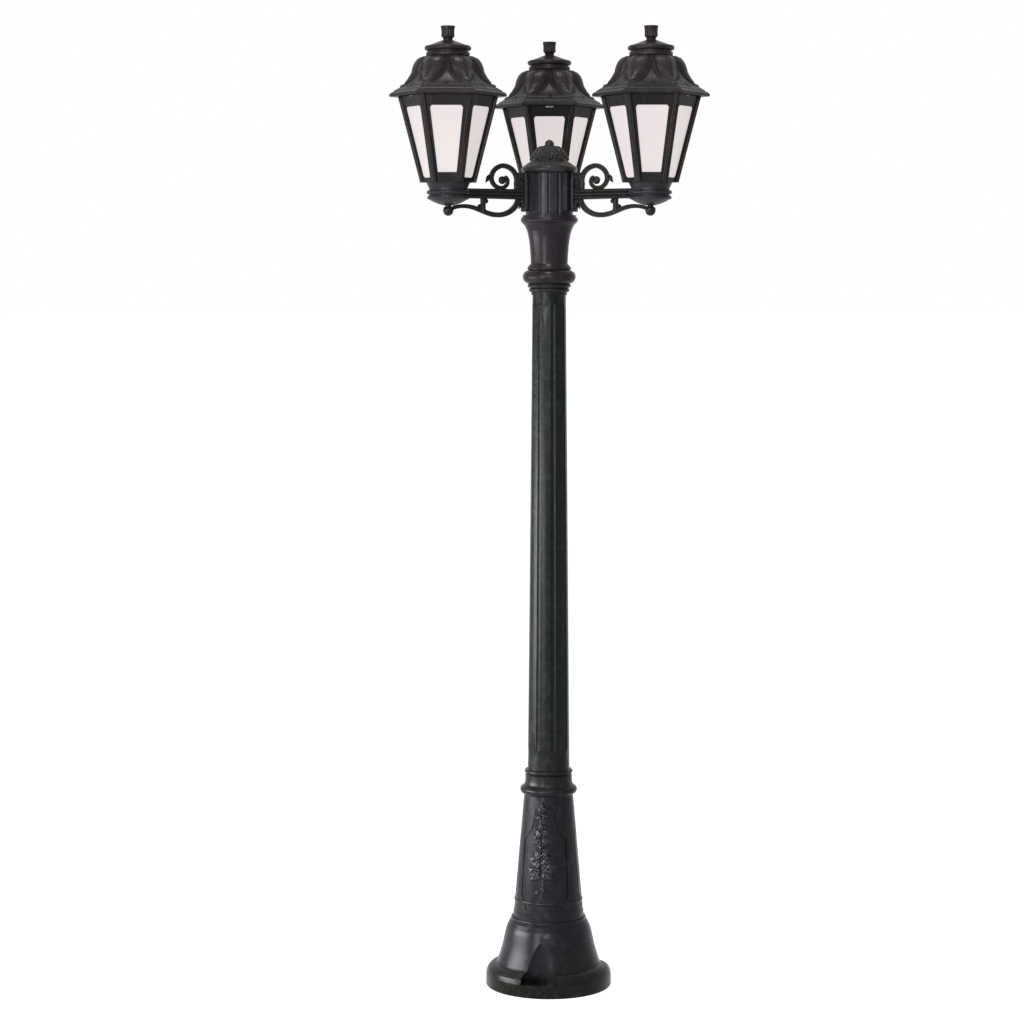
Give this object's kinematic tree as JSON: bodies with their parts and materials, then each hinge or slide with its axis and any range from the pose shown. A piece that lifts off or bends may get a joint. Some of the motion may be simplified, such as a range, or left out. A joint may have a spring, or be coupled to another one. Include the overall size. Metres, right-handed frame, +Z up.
{
  "type": "garden lamp post",
  "caption": "Free-standing garden lamp post: round moulded foot, fluted shaft, and hexagonal lanterns on scroll arms round a central hub.",
  "frame": {"origin": "centre of the anchor bolt circle, on the floor plane under the foot", "axes": "+Z up the post, +Y towards the rear lantern, the other two lanterns 120 degrees to either side of it"},
  "size_m": [0.6212, 0.5379, 1.9206],
  "materials": {
    "post_resin": "charcoal black moulded resin, satin, with a fine moulded grain",
    "lantern_resin": "charcoal black moulded resin, satin, with a fine moulded grain",
    "galvanised_steel": "hot-dip galvanised, dull spangle",
    "zinc_fasteners": "yellowish zinc plate, satin",
    "opal": "opal translucent resin, soft gloss",
    "porcelain": "white glazed porcelain",
    "brass": "turned brass, satin",
    "lamp_glass": "opal white glass, smooth",
    "lamp_cap": "bright rolled aluminium thread",
    "terminal_plastic": "off-white moulded block"
  },
  "bodies": {
    "post": {"base_pedestal": "post_resin", "pedestal_collar": "post_resin", "pole_shaft": "post_resin", "core_tube": "galvanised_steel", "neck_capital": "post_resin", "hub_drum": "post_resin", "terminal_block": "terminal_plastic", "arm_nuts": "zinc_fasteners", "arm_1": "post_resin", "lantern_base_1": "lantern_resin", "bowl_nut_1": "zinc_fasteners", "lantern_frame_1": "lantern_resin", "diffuser_1": "opal", "lampholder_1": "porcelain", "lampholder_nut_1": "brass", "roof_bridge_1": "galvanised_steel", "roof_stud_1": "zinc_fasteners", "arm_2": "post_resin", "lantern_base_2": "lantern_resin", "bowl_nut_2": "zinc_fasteners", "lantern_frame_2": "lantern_resin", "diffuser_2": "opal", "lampholder_2": "porcelain", "lampholder_nut_2": "brass", "roof_bridge_2": "galvanised_steel", "roof_stud_2": "zinc_fasteners", "arm_3": "post_resin", "lantern_base_3": "lantern_resin", "bowl_nut_3": "zinc_fasteners", "lantern_frame_3": "lantern_resin", "diffuser_3": "opal", "lampholder_3": "porcelain", "lampholder_nut_3": "brass", "roof_bridge_3": "galvanised_steel", "roof_stud_3": "zinc_fasteners"},
    "hub_cap": {"hub_cap": "post_resin"},
    "roof_1": {"roof_1": "lantern_resin", "roof_disc_1": "lantern_resin"},
    "finial_1": {"finial_1": "lantern_resin"},
    "bulb_1": {"bulb_cap_1": "lamp_cap", "bulb_glass_1": "lamp_glass"},
    "roof_2": {"roof_2": "lantern_resin", "roof_disc_2": "lantern_resin"},
    "finial_2": {"finial_2": "lantern_resin"},
    "bulb_2": {"bulb_cap_2": "lamp_cap", "bulb_glass_2": "lamp_glass"},
    "roof_3": {"roof_3": "lantern_resin", "roof_disc_3": "lantern_resin"},
    "finial_3": {"finial_3": "lantern_resin"},
    "bulb_3": {"bulb_cap_3": "lamp_cap", "bulb_glass_3": "lamp_glass"}
  },
  "joints": [
    {"name": "hub_cap_lift", "type": "slide", "parent": "post", "child": "hub_cap", "axis": [0, 0, 1], "range_m": [0, 0.12]},
    {"name": "roof_1_lift", "type": "slide", "parent": "post", "child": "roof_1", "axis": [0, 0, 1], "range_m": [0, 0.2]},
    {"name": "finial_1_turn", "type": "hinge", "parent": "roof_1", "child": "finial_1", "pos_m": [-0.19659, -0.1135, 1.9], "axis": [0, 0, 1], "range_deg": [0, 1080]},
    {"name": "bulb_1_unscrew", "type": "hinge", "parent": "post", "child": "bulb_1", "pos_m": [-0.19659, -0.1135, 1.65], "axis": [0, 0, 1], "range_deg": [0, 1080]},
    {"name": "roof_2_lift", "type": "slide", "parent": "post", "child": "roof_2", "axis": [0, 0, 1], "range_m": [0, 0.2]},
    {"name": "finial_2_turn", "type": "hinge", "parent": "roof_2", "child": "finial_2", "pos_m": [0.19659, -0.1135, 1.9], "axis": [0, 0, 1], "range_deg": [0, 1080]},
    {"name": "bulb_2_unscrew", "type": "hinge", "parent": "post", "child": "bulb_2", "pos_m": [0.19659, -0.1135, 1.65], "axis": [0, 0, 1], "range_deg": [0, 1080]},
    {"name": "roof_3_lift", "type": "slide", "parent": "post", "child": "roof_3", "axis": [0, 0, 1], "range_m": [0, 0.2]},
    {"name": "finial_3_turn", "type": "hinge", "parent": "roof_3", "child": "finial_3", "pos_m": [0, 0.227, 1.9], "axis": [0, 0, 1], "range_deg": [0, 1080]},
    {"name": "bulb_3_unscrew", "type": "hinge", "parent": "post", "child": "bulb_3", "pos_m": [0, 0.227, 1.65], "axis": [0, 0, 1], "range_deg": [0, 1080]}
  ]
}
